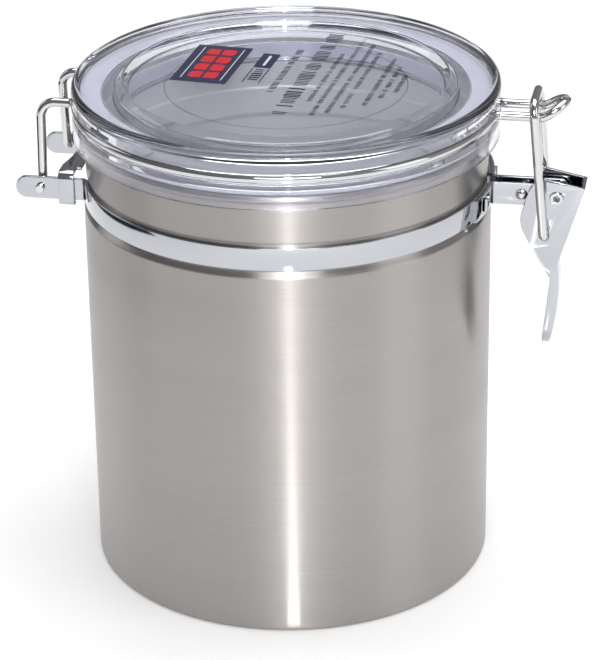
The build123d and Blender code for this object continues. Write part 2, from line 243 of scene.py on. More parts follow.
def tidy(mesh, angle=32.0):
    """Merges doubles, turns faces outwards and shades smooth up to an angle."""
    work = bmesh.new()
    work.from_mesh(mesh)
    bmesh.ops.remove_doubles(work, verts=work.verts, dist=0.002 * MM)
    bmesh.ops.dissolve_degenerate(work, edges=work.edges, dist=0.001 * MM)
    bmesh.ops.recalc_face_normals(work, faces=work.faces)
    work.to_mesh(mesh)
    work.free()
    mesh.shade_smooth()
    mesh.set_sharp_from_angle(angle=radians(angle))
    return mesh


def joined(name, meshes):
    """One mesh from several, with their materials."""
    work = bmesh.new()
    finishes = []
    for mesh in meshes:
        start = len(work.faces)
        work.from_mesh(mesh)
        work.faces.ensure_lookup_table()
        for finish in mesh.materials:
            if finish not in finishes:
                finishes.append(finish)
        for face in work.faces[start:]:
            face.material_index = finishes.index(mesh.materials[face.material_index])
    whole = bpy.data.meshes.new(name)
    work.to_mesh(whole)
    work.free()
    for finish in finishes:
        whole.materials.append(finish)
    return whole


def bored(mesh, cutters):
    """Mesh with each cutter mesh taken out of it."""
    holder = place_object(mesh.name, mesh)
    tools = []
    for cutter in cutters:
        tool = place_object("cutter", cutter)
        tools.append(tool)
        cut = holder.modifiers.new("Bore", "BOOLEAN")
        cut.operation = "DIFFERENCE"
        cut.solver = "EXACT"
        cut.object = tool
    result = evaluated(holder, mesh.name)
    for tool in tools:
        bpy.data.objects.remove(tool)
    return result


def prism(outline, depth, turn, place):
    """Cutter: a flat outline in millimetres given a depth, turned and placed."""
    work = bmesh.new()
    low = [work.verts.new((p.x * MM, p.y * MM, -depth / 2 * MM)) for p in outline]
    high = [work.verts.new((p.x * MM, p.y * MM, depth / 2 * MM)) for p in outline]
    count = len(outline)
    work.faces.new(low[::-1])
    work.faces.new(high)
    for i in range(count):
        work.faces.new((low[i], low[(i + 1) % count], high[(i + 1) % count], high[i]))
    bmesh.ops.transform(work, matrix=Matrix.Translation(Vector(place) * MM) @ turn.to_4x4(),
                        verts=work.verts)
    mesh = bpy.data.meshes.new("cutter")
    work.to_mesh(mesh)
    work.free()
    return mesh


def cross_pin(x, z, radius, depth=60.0, y=0.0):
    """Round cutter along Y."""
    return prism(arc((0, 0, 0), radius, 0, 360)[:-1], depth, Matrix.Rotation(pi / 2, 3, "X"), (x, y, z))


def softened_copy(node, finish, width, angle=28.0):
    """Copy of a CAD node, merged, with its sharp edges rounded like stamped sheet."""
    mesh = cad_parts[node].data.copy()
    work = bmesh.new()
    work.from_mesh(mesh)
    bmesh.ops.remove_doubles(work, verts=work.verts, dist=0.003 * MM)
    bmesh.ops.dissolve_limit(work, angle_limit=radians(0.8), verts=work.verts, edges=work.edges)
    work.to_mesh(mesh)
    work.free()
    mesh.materials.clear()
    mesh.materials.append(finish)
    holder = place_object(node, mesh)
    soft = holder.modifiers.new("Soft edges", "BEVEL")
    soft.width = width * MM
    soft.segments = 3
    soft.limit_method = "ANGLE"
    soft.angle_limit = radians(angle)
    soft.use_clamp_overlap = True
    return tidy(evaluated(holder, node))


def settle(mesh, body, node):
    """Places a finished piece, which rides on a body and stands for a CAD node."""
    piece = place_object(node + "_visual", mesh)
    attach(piece, body)
    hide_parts(node)


def settle_pair(front, stem):
    """Places a front piece of the can's chromed fittings and its mirror image at the back."""
    back = front.copy()
    back.transform(Matrix.Scale(-1, 4, (0, 1, 0)))
    settle(front, "can", stem + "_front")
    settle(tidy(back), "can", stem + "_back")


# ---- node trees ----------------------------------------------------------------------------------

def add(tree, kind, links=None, inputs=None, **settings):
    """Adds a node with its settings, its socket values and its links."""
    made = tree.nodes.new(kind)
    for name, value in settings.items():
        setattr(made, name, value)
    for name, value in (inputs or {}).items():
        made.inputs[name].default_value = value
    for name, source in (links or {}).items():
        tree.links.new(source, made.inputs[name])
    return made


def maths(tree, operation, *parts):
    """Result of a math node on sockets and numbers."""
    links = {i: part for i, part in enumerate(parts) if isinstance(part, bpy.types.NodeSocket)}
    inputs = {i: part for i, part in enumerate(parts) if i not in links}
    return add(tree, "ShaderNodeMath", links, inputs, operation=operation).outputs[0]


def new_tree(name, sockets):
    """Geometry node tree with a chain, the given sizes and a finish as its inputs."""
    tree = bpy.data.node_groups.new(name, "GeometryNodeTree")
    face = tree.interface
    face.new_socket(name="Geometry", in_out="INPUT", socket_type="NodeSocketGeometry")
    for label, (kind, default) in sockets.items():
        socket = face.new_socket(name=label, in_out="INPUT", socket_type="NodeSocket" + kind)
        socket.default_value = default
    face.new_socket(name="Finish", in_out="INPUT", socket_type="NodeSocketMaterial")
    face.new_socket(name="Geometry", in_out="OUTPUT", socket_type="NodeSocketGeometry")
    return tree, add(tree, "NodeGroupInput").outputs


def end_tree(tree, geometry, finish):
    """Last nodes of every tree: real geometry with its material."""
    real = add(tree, "GeometryNodeRealizeInstances", {"Geometry": geometry})
    painted = add(tree, "GeometryNodeSetMaterial", {"Geometry": real.outputs[0], "Material": finish})
    add(tree, "NodeGroupOutput", {"Geometry": painted.outputs[0]})
    return tree


def turned_tree():
    """Turns an outline about Z: radius along X and height along Y."""
    tree, given = new_tree("Turned Piece", {
        "Steps": ("Int", 192), "Turn": ("Rotation", (0, 0, 0)), "Place": ("Vector", (0, 0, 0))})
    size = add(tree, "GeometryNodeAttributeDomainSize", {"Geometry": given["Geometry"]})
    columns = add(tree, "FunctionNodeIntegerMath", {0: given["Steps"]}, {1: 1}, operation="ADD")
    grid = add(tree, "GeometryNodeMeshGrid",
               {"Vertices X": columns.outputs[0], "Vertices Y": size.outputs["Point Count"]})
    index = add(tree, "GeometryNodeInputIndex").outputs[0]
    column = add(tree, "FunctionNodeIntegerMath", {0: index, 1: size.outputs["Point Count"]},
                 operation="DIVIDE_FLOOR")
    row = add(tree, "FunctionNodeIntegerMath", {0: index, 1: size.outputs["Point Count"]},
              operation="MODULO")
    place = add(tree, "GeometryNodeInputPosition").outputs[0]
    outline = add(tree, "GeometryNodeSampleIndex",
                  {"Geometry": given["Geometry"], "Value": place, "Index": row.outputs[0]},
                  data_type="FLOAT_VECTOR")
    point = add(tree, "ShaderNodeSeparateXYZ", {0: outline.outputs[0]}).outputs
    share = maths(tree, "DIVIDE", column.outputs[0], given["Steps"])
    angle = maths(tree, "MULTIPLY", share, 2 * pi)
    x = maths(tree, "MULTIPLY", point["X"], maths(tree, "COSINE", angle))
    y = maths(tree, "MULTIPLY", point["X"], maths(tree, "SINE", angle))
    spot = add(tree, "ShaderNodeCombineXYZ", {"X": x, "Y": y, "Z": point["Y"]})
    swept = add(tree, "GeometryNodeSetPosition",
                {"Geometry": grid.outputs["Mesh"], "Position": spot.outputs[0]})
    closed = add(tree, "GeometryNodeMergeByDistance", {"Geometry": swept.outputs[0]},
                 {"Distance": 0.002 * MM})
    placed = add(tree, "GeometryNodeTransform",
                 {"Geometry": closed.outputs[0], "Rotation": given["Turn"], "Translation": given["Place"]})
    return end_tree(tree, placed.outputs[0], given["Finish"])


def wire_tree():
    """Round wire along a chain; its gauge attribute thins the cut ends."""
    tree, given = new_tree("Round Wire", {"Radius": ("Float", 0.001), "Sides": ("Int", 20)})
    line = add(tree, "GeometryNodeMeshToCurve", {"Mesh": given["Geometry"]})
    gauge = add(tree, "GeometryNodeInputNamedAttribute", None, {"Name": "gauge"}, data_type="FLOAT")
    circle = add(tree, "GeometryNodeCurvePrimitiveCircle",
                 {"Radius": given["Radius"], "Resolution": given["Sides"]})
    solid = add(tree, "GeometryNodeCurveToMesh",
                {"Curve": line.outputs[0], "Profile Curve": circle.outputs[0],
                 "Scale": gauge.outputs["Attribute"]}, {"Fill Caps": True})
    return end_tree(tree, solid.outputs[0], given["Finish"])


def strip_tree():
    """Strip of sheet that stands on edge along a chain, with rounded edges."""
    tree, given = new_tree("Sheet Strip", {
        "Thickness": ("Float", 0.001), "Height": ("Float", 0.007), "Edge": ("Float", 0.0003)})
    line = add(tree, "GeometryNodeMeshToCurve", {"Mesh": given["Geometry"]})
    upright = add(tree, "GeometryNodeSetCurveNormal", {"Curve": line.outputs[0]}, mode="Z_UP")
    section = add(tree, "GeometryNodeCurvePrimitiveQuadrilateral",
                  {"Width": given["Thickness"], "Height": given["Height"]})
    soft = add(tree, "GeometryNodeFilletCurve",
               {"Curve": section.outputs[0], "Radius": given["Edge"]}, {"Count": 3}, mode="POLY")
    solid = add(tree, "GeometryNodeCurveToMesh",
                {"Curve": upright.outputs[0], "Profile Curve": soft.outputs[0]}, {"Fill Caps": True})
    return end_tree(tree, solid.outputs[0], given["Finish"])


def row_tree():
    """Row of upright printed dashes along X with seeded widths and word gaps."""
    tree, given = new_tree("Printed Row", {
        "Count": ("Int", 20), "Pitch": ("Float", 0.001), "Height": ("Float", 0.002),
        "Ink": ("Float", 0.00003), "Filled": ("Float", 0.85), "Seed": ("Int", 0),
        "Turn": ("Rotation", (0, 0, 0)), "Place": ("Vector", (0, 0, 0))})
    step = add(tree, "ShaderNodeCombineXYZ", {"X": given["Pitch"]})
    line = add(tree, "GeometryNodeMeshLine", {"Count": given["Count"], "Offset": step.outputs[0]})
    kept = add(tree, "FunctionNodeRandomValue", {"Probability": given["Filled"], "Seed": given["Seed"]},
               data_type="BOOLEAN")
    width = add(tree, "FunctionNodeRandomValue", {"Seed": given["Seed"]}, {2: 0.25, 3: 0.62},
                data_type="FLOAT")
    rise = add(tree, "FunctionNodeRandomValue", {"Seed": given["Seed"]}, {2: 0.7, 3: 1.0, "ID": 7},
               data_type="FLOAT")
    wide = maths(tree, "MULTIPLY", width.outputs[1], given["Pitch"])
    tall = maths(tree, "MULTIPLY", rise.outputs[1], given["Height"])
    size = add(tree, "ShaderNodeCombineXYZ", {"X": wide, "Y": tall, "Z": given["Ink"]})
    dash = add(tree, "GeometryNodeMeshCube")
    dashes = add(tree, "GeometryNodeInstanceOnPoints",
                 {"Points": line.outputs[0], "Selection": kept.outputs[3], "Instance": dash.outputs[0],
                  "Scale": size.outputs[0]})
    placed = add(tree, "GeometryNodeTransform",
                 {"Geometry": dashes.outputs[0], "Rotation": given["Turn"], "Translation": given["Place"]})
    return end_tree(tree, placed.outputs[0], given["Finish"])


# ---- finishes ------------------------------------------------------------------------------------

def linear(code):
    """Linear RGBA of an sRGB hex value."""
    parts = [int(code[i:i + 2], 16) / 255 for i in (1, 3, 5)]
    return tuple(c / 12.92 if c <= 0.04045 else ((c + 0.055) / 1.055) ** 2.4 for c in parts) + (1.0,)


def new_finish(name):
    """Empty material with its tree, and the pattern place in object coordinates."""
    finish = bpy.data.materials.new(name)
    finish.use_nodes = True
    tree = finish.node_tree
    tree.nodes.clear()
    return finish, tree, add(tree, "ShaderNodeTexCoord").outputs["Object"]


def surface(finish, links, inputs=None, veil=None):
    """Principled surface of a finish; the veil is the tint that a clear one lays on the light through it."""
    tree = finish.node_tree
    shader = add(tree, "ShaderNodeBsdfPrincipled", links, inputs)
    if veil:
        through = add(tree, "ShaderNodeBsdfTransparent", None, {"Color": veil})
        shadow = add(tree, "ShaderNodeLightPath").outputs["Is Shadow Ray"]
        shader = add(tree, "ShaderNodeMixShader", {0: shadow, 1: shader.outputs[0], 2: through.outputs[0]})
    add(tree, "ShaderNodeOutputMaterial", {"Surface": shader.outputs[0]})
    return finish


def per_metre(feature):
    """Texture scale for a feature of this many millimetres."""
    return 1 / (feature * MM)


def noise(tree, place, size, detail=2.0, roughness=0.5):
    """Noise whose features have the given size in millimetres along X, Y and Z."""
    scaled = add(tree, "ShaderNodeMapping", {"Vector": place},
                 {"Scale": tuple(per_metre(s) for s in size)})
    return add(tree, "ShaderNodeTexNoise", {"Vector": scaled.outputs[0]},
               {"Scale": 1.0, "Detail": detail, "Roughness": roughness}).outputs["Fac"]


def between(tree, fac, low, high):
    """Value that runs from low to high with a factor."""
    return add(tree, "ShaderNodeMapRange", {"Value": fac}, {"To Min": low, "To Max": high}).outputs[0]


def toned(tree, fac, code, dark, light=1.0):
    """Colour that wanders with a factor between a darker and a lighter share of an sRGB hex value."""
    tone = add(tree, "ShaderNodeMix", {"Factor": fac}, data_type="RGBA")
    for socket, share in ((6, dark), (7, light)):
        tone.inputs[socket].default_value = tuple(min(1.0, c * share) for c in linear(code)[:3]) + (1.0,)
    return tone.outputs[2]


def relief(tree, height, strength, depth):
    """Bump from a height pattern, its depth in millimetres."""
    return add(tree, "ShaderNodeBump", {"Height": height},
               {"Strength": strength, "Distance": depth * MM}).outputs[0]


def brushed_steel(colours):
    """Stainless steel sheet brushed round the can: long fine lines and an upright streak of light."""
    finish, tree, place = new_finish("brushed_steel")
    lines = noise(tree, place, (45, 45, 0.32), 4.0, 0.62)
    broad = noise(tree, place, (120, 120, 7))
    rough = maths(tree, "ADD", between(tree, lines, -0.05, 0.05), between(tree, broad, 0.30, 0.36))
    around = add(tree, "ShaderNodeTangent", direction_type="RADIAL", axis="Z")
    return surface(finish, {"Base Color": toned(tree, lines, colours.steel, 0.86, 1.1),
                            "Roughness": rough, "Normal": relief(tree, lines, 0.22, 0.02),
                            "Tangent": around.outputs[0]},
                   {"Metallic": 1.0, "Anisotropic": 0.94, "Anisotropic Rotation": 0.25})


def satin_steel(name, code, low, high, sheen=1.0):
    """Stainless steel as rolled or drawn: an even satin without brush lines."""
    finish, tree, place = new_finish(name)
    mill = noise(tree, place, (14, 14, 14), 3.0)
    fine = noise(tree, place, (0.5, 0.5, 0.5))
    return surface(finish, {"Base Color": toned(tree, mill, code, 0.94, 1.06),
                            "Roughness": between(tree, mill, low, high),
                            "Normal": relief(tree, fine, 0.1, 0.01)}, {"Metallic": sheen})


def bright_plate(name, code, wave, smooth):
    """Chrome plating on stamped steel: a mirror with a slow wave from the press and faint wiping haze."""
    finish, tree, place = new_finish(name)
    slow = noise(tree, place, (wave, wave, wave), 1.0)
    haze = noise(tree, place, (2.5, 2.5, 2.5), 3.0)
    return surface(finish, {"Base Color": toned(tree, haze, code, 0.95),
                            "Roughness": between(tree, haze, smooth, smooth + 0.05),
                            "Normal": relief(tree, slow, 0.35, 0.08)}, {"Metallic": 1.0})


def clear_acrylic(colours):
    """Moulded acrylic: water clear and glossy, with the slow ripple of the mould's flow."""
    finish, tree, place = new_finish("clear_acrylic")
    flow = noise(tree, place, (22, 22, 22), 1.0)
    return surface(finish, {"Normal": relief(tree, flow, 0.25, 0.15)},
                   {"Base Color": linear(colours.acrylic), "Roughness": 0.015, "IOR": 1.49,
                    "Transmission Weight": 1.0}, (0.97, 0.97, 0.98, 1.0))


def clear_silicone(colours):
    """Moulded silicone: milky, soft and slightly grainy, with a dull shine."""
    finish, tree, place = new_finish("clear_silicone")
    grain = noise(tree, place, (0.8, 0.8, 0.8), 3.0)
    return surface(finish, {"Roughness": between(tree, grain, 0.28, 0.42),
                            "Normal": relief(tree, grain, 0.15, 0.05)},
                   {"Base Color": linear(colours.silicone), "IOR": 1.41, "Transmission Weight": 0.2},
                   (0.7, 0.7, 0.7, 1.0))


def label_film():
    """Clear polypropylene film: almost unseen, with a thin even gloss and a little cloud."""
    finish, tree, place = new_finish("label_film")
    cloud = noise(tree, place, (9, 9, 9))
    return surface(finish, {"Roughness": between(tree, cloud, 0.12, 0.2)},
                   {"Base Color": (0.8, 0.82, 0.86, 1.0), "Alpha": 0.03})


def printed_ink(name, code):
    """Screen-printed ink: flat and opaque, uneven where the mesh of the screen laid it down."""
    finish, tree, place = new_finish(name)
    screen = noise(tree, place, (0.9, 0.9, 0.9), 3.0)
    return surface(finish, {"Base Color": toned(tree, screen, code, 0.82, 1.12),
                            "Roughness": between(tree, screen, 0.35, 0.5)}, {"Specular IOR Level": 0.25})


def studio_paper(code, glow=0.0):
    """Matt background paper with a trace of pulp; it glows where it stands for a light's reflection."""
    finish, tree, place = new_finish("studio_paper")
    pulp = noise(tree, place, (40, 40, 40))
    return surface(finish, {"Base Color": toned(tree, pulp, code, 0.985)},
                   {"Roughness": 0.9, "Specular IOR Level": 0.1, "Emission Color": linear(code),
                    "Emission Strength": glow})


KIT = {}


def prepare():
    """Node trees and finishes that the pieces share."""
    if KIT:
        return
    colours = bpy.context.scene.canister_colours
    KIT.update(
        turned=turned_tree(), wire=wire_tree(), strip=strip_tree(), row=row_tree(),
        steel=brushed_steel(colours), satin=satin_steel("satin_steel", colours.steel, 0.36, 0.44),
        # inside steel: real satin finish, with painted light, half diffuse and lighter for the light that
        # bounces round inside
        inside=satin_steel("satin_inside", colours.inside, 0.42, 0.52, 0.45),
        chrome=bright_plate("chromed_steel", colours.chrome, 14, 0.06),
        bright=bright_plate("chromed_wire", colours.wire, 30, 0.04),
        acrylic=clear_acrylic(colours), silicone=clear_silicone(colours), film=label_film(),
        navy=printed_ink("navy_ink", colours.navy), red=printed_ink("red_ink", colours.red),
        dark=printed_ink("print_ink", colours.dark),
        pale=printed_ink("pale_ink", colours.pale))


def held(chain, long=1.5, close=0.12):
    """Chain with added points next to the ends of its long straight runs, so that these shade flat."""
    points = [chain[0]]
    for start, end in zip(chain, chain[1:]):
        way = end - start
        if way.length > long:
            points += [start + way.normalized() * close] if start.x > close else []
            points += [end - way.normalized() * close] if end.x > close else []
        points.append(end)
    return points


def turned(name, outline, finish, turn=(0, 0, 0), place=(0, 0, 0), steps=None):
    """Turned piece from an outline of (radius, height) in millimetres."""
    steps = steps or bpy.context.scene.canister_sizes.turn_steps
    mesh = grow(name, KIT["turned"], chain_mesh(held(outline)), steps=steps, turn=turn,
                place=tuple(c * MM for c in place), finish=KIT[finish])
    return tidy(mesh)


def round_wire(name, path):
    """Wire along a path in millimetres, with its cut ends rounded off."""
    radius = bpy.context.scene.canister_sizes.wire
    cut, steps = 0.35, (0.0, 0.3, 0.6, 0.85, 1.0)
    start, end = (path[0] - path[1]).normalized(), (path[-1] - path[-2]).normalized()
    back = [cut * (1 - cos(s * pi / 2)) for s in steps]
    fall = [1 - cut * MM / radius * (1 - sin(s * pi / 2)) for s in steps]
    points = [path[0] - start * b for b in back] + path[1:-1] + [path[-1] - end * b for b in reversed(back)]
    gauge = fall + [1.0] * (len(path) - 2) + fall[::-1]
    mesh = grow(name, KIT["wire"], chain_mesh(points, gauge), radius=radius, sides=24,
                finish=KIT["bright"])
    return tidy(mesh, 50)


def strip(name, path):
    """Strip of the band's sheet on edge along a path in millimetres."""
    sizes = bpy.context.scene.canister_sizes
    return grow(name, KIT["strip"], chain_mesh(path), thickness=sizes.band_sheet,
                height=(BAND_HIGH.z - BAND_LOW.z) * MM, edge=sizes.band_edge, finish=KIT["chrome"])


def round_tip(mesh, tip, radius, middle, half):
    """Rounds the upright end of a strip whose tip is at x = tip, all in millimetres."""
    inward = 1 if tip < 0 else -1
    for vertex in mesh.vertices:
        depth = max(0.0, (vertex.co.x / MM - tip) * inward)
        if depth < radius:
            limit = half - radius + sqrt(max(0.0, radius ** 2 - (radius - depth) ** 2))
            vertex.co.z = (middle + (vertex.co.z / MM - middle) * limit / half) * MM
    return mesh


def tip_run(tip_x, to_x, y, z, radius):
    """Points from a rounded tip along a straight run, close together where the tip rounds."""
    way = 1 if to_x > tip_x else -1
    close = [0.0, 0.05, 0.15, 0.35, 0.7, 1.2, 1.8, 2.5, radius]
    return [Vector((tip_x + way * c, y, z)) for c in close] + [Vector((to_x, y, z))]


# ---- pieces --------------------------------------------------------------------------------------

class CANISTER_OT_can(bpy.types.Operator):
    """Turns the brushed can with its groove and rolled rim, and its base disc"""
    bl_idname = "canister.can"
    bl_label = "Can and Base"

    def execute(self, context):
        prepare()
        sizes = context.scene.canister_sizes
        outer, sheet, bead = sizes.can_radius / MM, sizes.sheet / MM, sizes.bead / MM
        floor = sizes.groove_radius / MM
        inner, neck, hem = outer - sheet, floor + 0.3, 59.6
        bead_r, bead_z = CAN_HIGH.x - 0.8, CAN_HIGH.z - bead
        lean_out, lean_in = neck - bead_r, neck - sheet - bead_r
        start = -degrees(atan2(sqrt(bead ** 2 - lean_out ** 2), lean_out))
        end = 360 - degrees(atan2(sqrt(bead ** 2 - lean_in ** 2), lean_in))
        curl = arc((bead_r, bead_z, 0), bead, start, end, 15)
        low, high, shoulder = 122.9, 131.7, 1.6
        outline = [(hem, 0, 0.2), (outer, 0, sizes.base_corner / MM),
                   (outer, low - shoulder, 1.2), (floor, low, 1.2),
                   (floor, high, 0.9), (neck, high + shoulder / 2, 0.9)]
        outline += curl
        outline += [(neck - sheet, high + shoulder / 2, 0.9), (floor - sheet, high, 0.9),
                    (floor - sheet, low, 1.2), (inner, low - shoulder, 1.2),
                    (inner, sheet, 0.8), (hem, sheet, 0.2)]
        wall = turned("canister_body", rounded(outline, closed=True), "steel")
        # the inner wall takes the inside steel, painted lighter for the light that bounces round inside
        wall.materials.append(KIT["inside"])
        for face in wall.polygons:
            spot = Vector((face.center.x, face.center.y, 0))
            faces_in = face.normal.dot(spot.normalized()) < -0.5
            face.material_index = int(faces_in and spot.length < (inner + 0.1) * MM)
        settle(wall, "can", "canister_body")
        panel, rise = 3.0, 2.2
        top = panel + sheet
        base = [Vector((0, panel, 0)), (hem - 2 - rise, panel, 1.2), (hem - 2, sheet, 1.2),
                (inner, sheet, 0.3), (inner, BASE_HIGH.z, 0.3), (inner - sheet, BASE_HIGH.z, 0.3),
                (inner - sheet, 2 * sheet, 0.5), (hem - 1.6, 2 * sheet, 1.2),
                (hem - 1.6 - rise, top, 1.2), Vector((0, top, 0))]
        disc = turned("base_disc", rounded(base), "satin")
        # the disc's top takes the inside steel, painted lighter for the light that bounces round inside
        disc.materials.append(KIT["inside"])
        for face in disc.polygons:
            face.material_index = int(face.normal.z > 0.2)
        settle(disc, "can", "base_disc")
        return {"FINISHED"}


class CANISTER_OT_collar(bpy.types.Operator):
    """Bends the two halves of the collar band with their hinge ears and tongues"""
    bl_idname = "canister.collar"
    bl_label = "Collar Band"

    def execute(self, context):
        prepare()
        sizes = context.scene.canister_sizes
        radius = (sizes.groove_radius + sizes.band_sheet / 2) / MM
        ear_y, ear_tip, tip_round, turn, end = 18.6, BAND_LOW.x, 3.4, 2.2, 3.6
        out = mirrored(turn_out(radius, ear_y, turn, BAND_MID), x=-1)[::-1]
        start = on_ring_angle(out[-1])
        ring = arc((0, 0, BAND_MID), radius, start, -end, 1.5)
        path = tip_run(ear_tip, out[0].x, -ear_y, BAND_MID, tip_round)[:-1] + out + ring[1:]
        half = (BAND_HIGH.z - BAND_LOW.z) / 2
        mesh = round_tip(strip("collar_band_front", path), ear_tip, tip_round, BAND_MID, half)
        mesh = bored(mesh, [cross_pin(HINGE_X, BAND_MID, sizes.wire / MM + 0.1)])
        tongue_at, reach, tall, wide = -11.6, 2.9, 4.2, 1.2
        root, end_x = radius - 0.3, radius + reach
        outline = rounded([(root, -wide / 2, 0.05), (end_x, -wide / 2, 0.5), (end_x, wide / 2, 0.5),
                           (root, wide / 2, 0.05)], closed=True)[:-1]
        tongue = prism(outline, tall, Matrix.Rotation(radians(tongue_at), 3, "Z"), (0, 0, BAND_MID))
        tongue.materials.append(KIT["chrome"])
        front = tidy(joined("collar_band_front", [mesh, tongue]))
        settle_pair(front, "collar_band")
        return {"FINISHED"}


class CANISTER_OT_hinge_clip(bpy.types.Operator):
    """Rounds the edges of the saddle clip that ties the hinge ears"""
    bl_idname = "canister.hinge_clip"
    bl_label = "Hinge Clip"

    def execute(self, context):
        prepare()
        clip = softened_copy("hinge_clip", KIT["chrome"], 0.22)
        settle(clip, "can", "hinge_clip")
        return {"FINISHED"}


class CANISTER_OT_latch_ears(bpy.types.Operator):
    """Bends the two latch straps with their ears, slots and rivet holes"""
    bl_idname = "canister.latch_ears"
    bl_label = "Latch Ears"

    def execute(self, context):
        prepare()
        sizes = context.scene.canister_sizes
        radius = (sizes.groove_radius + 1.5 * sizes.band_sheet) / MM
        ear_y, turn, strap_end, tip_round = 2.6, 1.8, -17.5, 3.4
        tip = STRAP_HIGH.x
        out = turn_out(radius, ear_y, turn, BAND_MID)
        start = on_ring_angle(out[0])
        ring = arc((0, 0, BAND_MID), radius, strap_end, start, 1.5)
        path = ring + out[1:] + tip_run(tip, out[-1].x, -ear_y, BAND_MID, tip_round)[:-1][::-1]
        half = (BAND_HIGH.z - BAND_LOW.z) / 2
        mesh = round_tip(strip("latch_ear_front", path), tip, tip_round, BAND_MID, half)
        slot_from, slot_to, slot_height, slot_round = 6.6, 13.4, 5.0, 1.2
        middle = radians((slot_from + slot_to) / 2)
        long = radius * radians(slot_to - slot_from)
        corner = [(-long / 2, -slot_height / 2), (long / 2, -slot_height / 2),
                  (long / 2, slot_height / 2), (-long / 2, slot_height / 2)]
        outline = rounded([(x, y, slot_round) for x, y in corner], closed=True)[:-1]
        facing = Matrix(((sin(middle), 0, cos(middle)), (cos(middle), 0, -sin(middle)), (0, 1, 0)))
        at = (radius * cos(middle), -radius * sin(middle), BAND_MID)
        mesh = bored(mesh, [prism(outline, 5.0, facing, at), cross_pin(TIE_X, BAND_MID, 1.4),
                            cross_pin(PIVOT_X, BAND_MID, 1.5)])
        settle_pair(tidy(mesh), "latch_ear")
        return {"FINISHED"}


class CANISTER_OT_rivets(bpy.types.Operator):
    """Turns the domed tie rivet and the tubular pivot rivet"""
    bl_idname = "canister.rivets"
    bl_label = "Rivets"

    def execute(self, context):
        prepare()
        upright = (-pi / 2, 0, 0)
        top, dome, shank, spacer, inside, outside = TIE_HIGH.y, 1.9, 1.4, 1.95, 2.0, 3.2
        rise = top - outside
        ball = (dome ** 2 + rise ** 2) / (2 * rise)
        rim = 90 - degrees(asin(dome / ball))
        cap = arc((0, top - ball, 0), ball, 90, rim, 6)
        flank = [Vector((shank, outside, 0)), Vector((shank, inside, 0)), Vector((spacer, inside, 0))]
        upper = cap + flank
        lower = [Vector((p.x, -p.y, 0)) for p in reversed(upper)]
        tie = turned("tie_rivet", upper + lower, "bright", upright, (TIE_X, 0, BAND_MID), 48)
        settle(tie, "can", "tie_rivet")
        bore, pin, head, end = 0.9, 1.5, context.scene.canister_sizes.pivot_head / MM, PIVOT_HIGH.y
        neck = end - 0.5
        outline = rounded([(bore, -end, 0.35), (head, -end, 0.24), (head, -neck, 0.2), (pin, -neck, 0.05),
                           (pin, neck, 0.05), (head, neck, 0.2), (head, end, 0.24), (bore, end, 0.35)],
                          closed=True, step=20)
        pivot = turned("pivot_rivet", outline, "bright", upright, (PIVOT_X, 0, BAND_MID), 48)
        settle(pivot, "can", "pivot_rivet")
        return {"FINISHED"}


class CANISTER_OT_lid(bpy.types.Operator):
    """Turns the clear lid with its sunk window, wire groove, skirt and plug, and the seal on it"""
    bl_idname = "canister.lid"
    bl_label = "Lid and Seal"

    def execute(self, context):
        prepare()
        sizes = context.scene.canister_sizes
        outer, top, skirt = LID_HIGH.x, LID_HIGH.z, 144.0
        window, window_z, under = sizes.window_radius / MM, FILM_LOW.z, 155.2
        groove = sizes.wire / MM + 0.15
        channel = arc((RING_R, RING_Z, 0), groove, -90, -270, 15)
        plug, bore, lip, ceiling, cup = 56.9, 53.4, 0.7, 149.9, 64.5
        outline = [Vector((0, under, 0)), (bore, under, 0.8), (bore, LID_LOW.z, 0.4),
                   (plug + lip, LID_LOW.z, 0.3), (plug + lip, LID_LOW.z + 0.6, 0.25),
                   (plug, LID_LOW.z + 1.2, 0.3), (plug, ceiling, 0.6), (cup, ceiling, 0.6),
                   (cup, skirt, 0.3), (outer, skirt, 0.5), (outer, RING_Z - groove, 0.3)]
        outline += channel
        outline += [(outer, RING_Z + groove, 0.3), (outer, top, sizes.lid_edge / MM),
                    (window + 1.6, top, 0.7), (window, window_z, 0.9), Vector((0, window_z, 0))]
        lid = turned("lid", rounded(outline), "acrylic")
        settle(lid, "lid_group", "lid")
        sleeve, low, high, flange = 60.0, SEAL_LOW.z, SEAL_HIGH.z - 0.03, 148.0
        ring = [(plug + 0.1, low, 0.1), (sleeve - 0.8, low, 0.3), (sleeve, flange - 1, 0.4),
                (sleeve, flange, 0.3), (SEAL_HIGH.x, flange, 0.6), (SEAL_HIGH.x, high, 0.6),
                (plug + 0.1, high, 0.1)]
        seal = turned("gasket", rounded(ring, closed=True), "silicone")
        settle(seal, "lid_group", "gasket")
        return {"FINISHED"}


